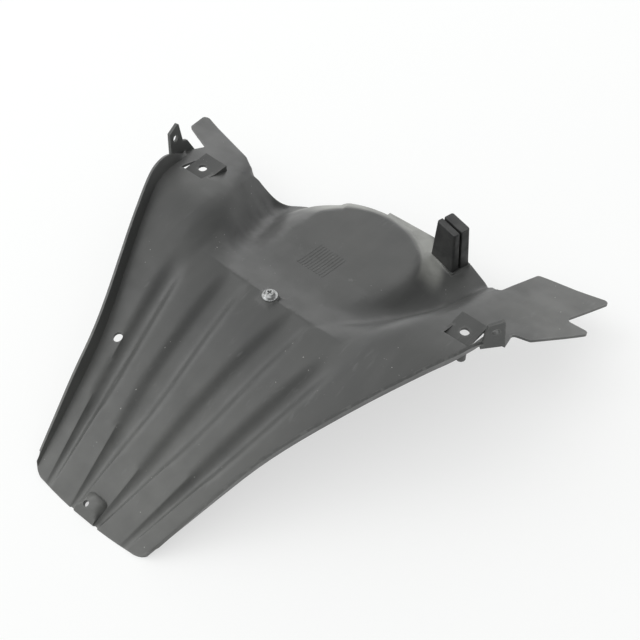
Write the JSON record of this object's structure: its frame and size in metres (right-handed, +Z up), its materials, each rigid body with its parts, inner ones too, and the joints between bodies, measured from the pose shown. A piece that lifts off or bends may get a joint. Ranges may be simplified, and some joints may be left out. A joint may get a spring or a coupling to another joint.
{
  "type": "motor scooter mudguard",
  "caption": "Moulded inner mudguard of a motor scooter: fluted fan with side lips, round hub, rear wings, screw pockets, ears and a rubber buffer.",
  "frame": {"origin": "on the floor under the middle of the part's box, as it rests", "axes": "+Z up, +Y from the narrow tail to the wide end with the wings, +X to the side with the flap and the buffer"},
  "size_m": [0.4152, 0.4212, 0.1072],
  "materials": {
    "moulding": "fine-grained, moulded in colour, lightly scuffed",
    "zinc": "bright zinc plated",
    "rubber": "matt moulded rubber"
  },
  "bodies": {
    "root": {"mudguard": "moulding", "screw": "zinc", "washer": "zinc", "rubber_buffer": "rubber"}
  },
  "joints": []
}
